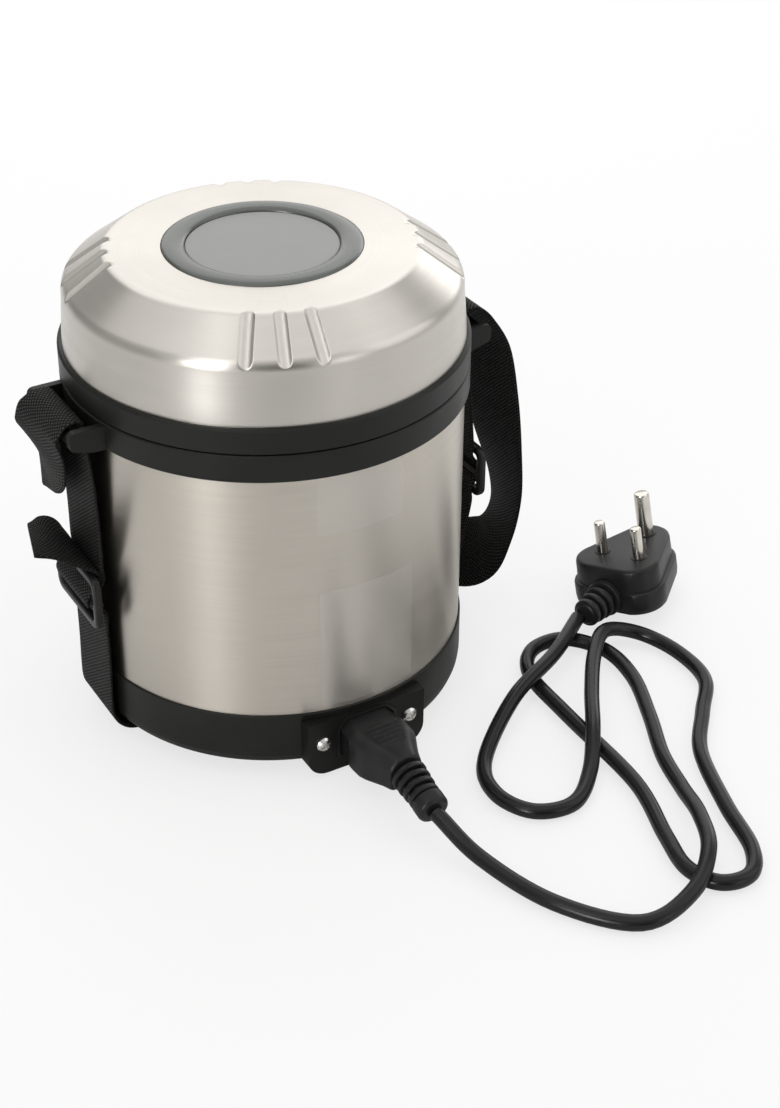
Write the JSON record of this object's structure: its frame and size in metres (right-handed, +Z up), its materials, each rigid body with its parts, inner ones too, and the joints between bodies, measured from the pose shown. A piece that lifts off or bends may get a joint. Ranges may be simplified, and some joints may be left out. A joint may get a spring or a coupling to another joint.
{
  "type": "electric lunch box",
  "caption": "Insulated steel canister for heating food, with stacked containers, a twist-locking fluted lid, a webbing carrying strap and a detachable mains lead.",
  "frame": {"origin": "centre of the underside, on the plane the rubber feet stand on", "axes": "+Z up along the canister's axis; -Y is the way the mains inlet faces; +X and -X are the two strap loops"},
  "size_m": [0.2972, 0.3139, 0.2014],
  "materials": {
    "outer_steel": "warm satin stainless steel, brushed round the body",
    "inner_steel": "plain satin stainless steel",
    "body_plastic": "satin black moulding",
    "badge_plastic": "grey disc with a darker raised rim",
    "liner_plastic": "smooth white",
    "insulation": "light foam",
    "seal_rubber": "translucent grey silicone",
    "foot_rubber": "matt",
    "zinc_steel": "bright plated",
    "cast_aluminium": "machined casting",
    "element_steel": "oxidised tube",
    "switch_body": "pressed can",
    "wire_sleeve": "braided sleeve",
    "inlet_plastic": "black moulding",
    "pin_metal": "nickel plated",
    "webbing": "dense woven webbing",
    "buckle_plastic": "smooth moulding",
    "lead_moulding": "semi-gloss flexible moulding",
    "cord_sheath": "glossy flexible sheath"
  },
  "bodies": {
    "canister": {"barrel_shell": "outer_steel", "collar": "body_plastic", "well": "inner_steel", "barrel_insulation": "insulation", "base_ring": "body_plastic", "base_cover": "body_plastic", "rubber_feet": "foot_rubber", "base_screws": "zinc_steel", "heater_plate": "cast_aluminium", "heating_element": "element_steel", "thermostat": "switch_body", "heater_clamp": "zinc_steel", "internal_leads": "wire_sleeve", "inlet_socket": "inlet_plastic", "inlet_pins": "pin_metal", "inlet_screws": "zinc_steel", "side_strap": "webbing", "strap_tail": "webbing", "shoulder_strap": "webbing", "tri_glide_left": "buckle_plastic", "tri_glide_right": "buckle_plastic"},
    "container_low": {"bowl_low": "inner_steel", "bowl_lid_low": "inner_steel"},
    "container_mid": {"bowl_mid": "inner_steel", "bowl_lid_mid": "inner_steel"},
    "container_top": {"bowl_top": "inner_steel", "bowl_lid_top": "inner_steel"},
    "seal": {"lid_seal": "seal_rubber"},
    "lid": {"lid_shell": "outer_steel", "lid_badge": "badge_plastic", "lid_band": "body_plastic", "lid_insulation": "insulation", "lid_liner": "liner_plastic"},
    "lead": {"connector_body": "lead_moulding", "connector_relief": "lead_moulding", "power_cord": "cord_sheath", "plug_body": "lead_moulding", "plug_relief": "lead_moulding", "plug_pins": "pin_metal"}
  },
  "joints": [
    {"name": "container_low_lift", "type": "slide", "parent": "canister", "child": "container_low", "axis": [0, 0, 1], "range_m": [0, 0.11]},
    {"name": "container_mid_lift", "type": "slide", "parent": "container_low", "child": "container_mid", "axis": [0, 0, 1], "range_m": [0, 0.06]},
    {"name": "container_top_lift", "type": "slide", "parent": "container_mid", "child": "container_top", "axis": [0, 0, 1], "range_m": [0, 0.06]},
    {"name": "lid_lift", "type": "slide", "parent": "container_top", "child": "seal", "axis": [0, 0, 1], "range_m": [0, 0.06]},
    {"name": "lid_twist", "type": "hinge", "parent": "seal", "child": "lid", "pos_m": [0, 0, 0], "axis": [0, 0, 1], "range_deg": [0, 30]},
    {"name": "lead_pull", "type": "slide", "parent": "canister", "child": "lead", "axis": [0, -1, 0], "range_m": [0, 0.025]}
  ]
}
